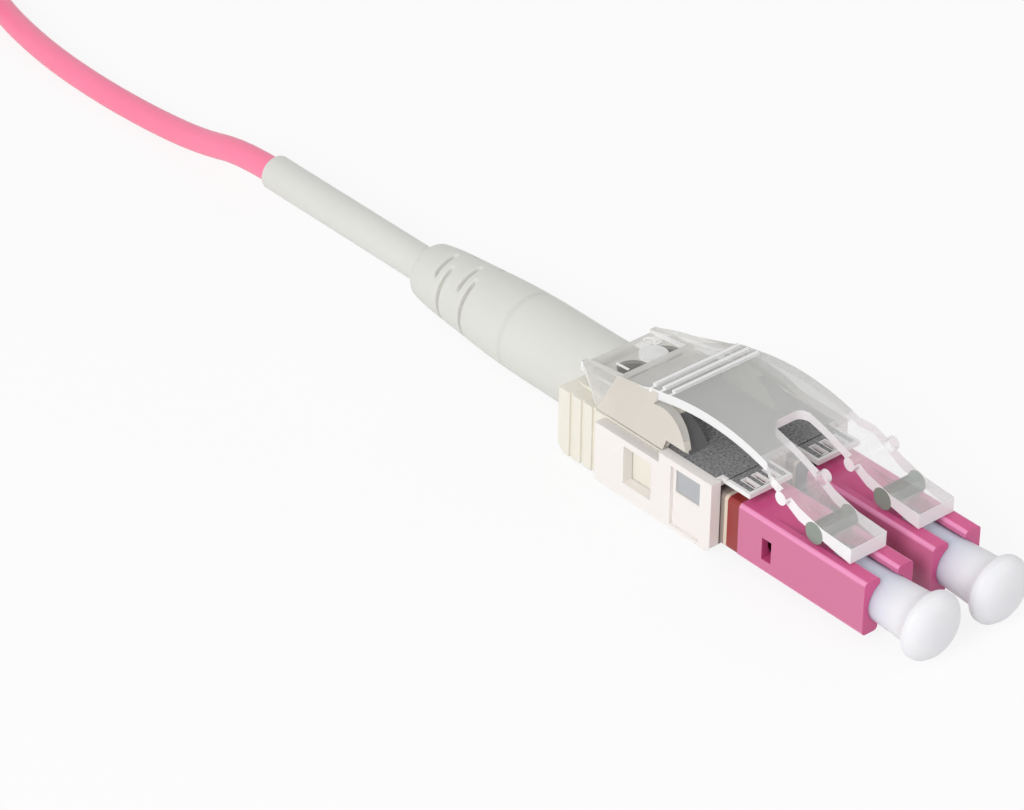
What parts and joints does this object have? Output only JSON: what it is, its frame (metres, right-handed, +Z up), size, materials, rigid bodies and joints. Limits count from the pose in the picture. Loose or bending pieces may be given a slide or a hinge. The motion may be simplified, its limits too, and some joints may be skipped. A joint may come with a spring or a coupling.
{
  "type": "fibre optic connector",
  "caption": "Duplex uniboot LC fibre-optic connector on a patch cord folded into a tied hank, with dust caps, clear latch cover, bend-relief boot and a like connector at the far end.",
  "frame": {"origin": "on the surface that the connector lies on, under the middle of the connector from its dust caps to the end of its label sleeve", "axes": "+Y along the fibre axes from the mating face to the cord, +X across the pair, +Z up through the latch cover"},
  "size_m": [0.0148, 0.2454, 0.0096],
  "materials": {
    "housing_magenta": "satin",
    "collar_red": "satin",
    "collar_black": "satin",
    "cap_clear": "gloss",
    "lower_milky": "satin",
    "deck_grey": "speckled",
    "carrier_cream": "satin",
    "cover_clear": "gloss",
    "boot_white": "matte",
    "ferrule_ceramic": "polished",
    "flange_nickel": "plated",
    "spring_steel": "drawn",
    "crimp_metal": "plated",
    "fibre_buffer": "satin",
    "sleeve_white": "matte",
    "tie_white": "matte",
    "cord_pink": "satin"
  },
  "bodies": {
    "connector": {"lc_housing_left": "housing_magenta", "lc_housing_right": "housing_magenta", "collar_left": "collar_red", "collar_right": "collar_black", "lower_housing": "lower_milky", "deck": "deck_grey", "carrier": "carrier_cream", "saddle": "carrier_cream", "boot": "boot_white", "far_lc_housing_left": "housing_magenta", "far_lc_housing_right": "housing_magenta", "far_collar_left": "collar_red", "far_collar_right": "collar_black", "far_dust_cap_left": "cap_clear", "far_dust_cap_right": "cap_clear", "far_lower_housing": "lower_milky", "far_deck": "deck_grey", "far_carrier": "carrier_cream", "far_saddle": "carrier_cream", "far_latch_cover": "cover_clear", "far_boot": "boot_white", "ferrule_spring_left": "spring_steel", "fibre_left": "fibre_buffer", "ferrule_spring_right": "spring_steel", "fibre_right": "fibre_buffer", "cable_post": "flange_nickel", "crimp_sleeve": "crimp_metal", "label_sleeve": "sleeve_white", "cord_core": "cord_pink", "cord_coil": "cord_pink", "coil_tie": "tie_white", "cord": "cord_pink", "cord_tail": "cord_pink"},
    "cap_left": {"dust_cap_left": "cap_clear"},
    "cap_right": {"dust_cap_right": "cap_clear"},
    "ferrule_left_train": {"ferrule_left": "ferrule_ceramic", "ferrule_flange_left": "flange_nickel"},
    "ferrule_right_train": {"ferrule_right": "ferrule_ceramic", "ferrule_flange_right": "flange_nickel"},
    "latch": {"latch_cover": "cover_clear"}
  },
  "joints": [
    {"name": "cap_left_pull", "type": "slide", "parent": "connector", "child": "cap_left", "axis": [0, -1, 0], "range_m": [0, 0.012]},
    {"name": "cap_right_pull", "type": "slide", "parent": "connector", "child": "cap_right", "axis": [0, -1, 0], "range_m": [0, 0.012]},
    {"name": "ferrule_left_float", "type": "slide", "parent": "connector", "child": "ferrule_left_train", "axis": [0, 1, 0], "range_m": [0, 0.0006], "stiffness_N_per_m": 2000, "deforming": ["ferrule_spring_left"]},
    {"name": "ferrule_right_float", "type": "slide", "parent": "connector", "child": "ferrule_right_train", "axis": [0, 1, 0], "range_m": [0, 0.0006], "stiffness_N_per_m": 2000, "deforming": ["ferrule_spring_right"]},
    {"name": "latch_press", "type": "hinge", "parent": "connector", "child": "latch", "pos_m": [0, -0.0263, 0.00597], "axis": [-1, 0, 0], "range_deg": [0, 1.3], "stiffness_Nm_per_rad": 1}
  ]
}
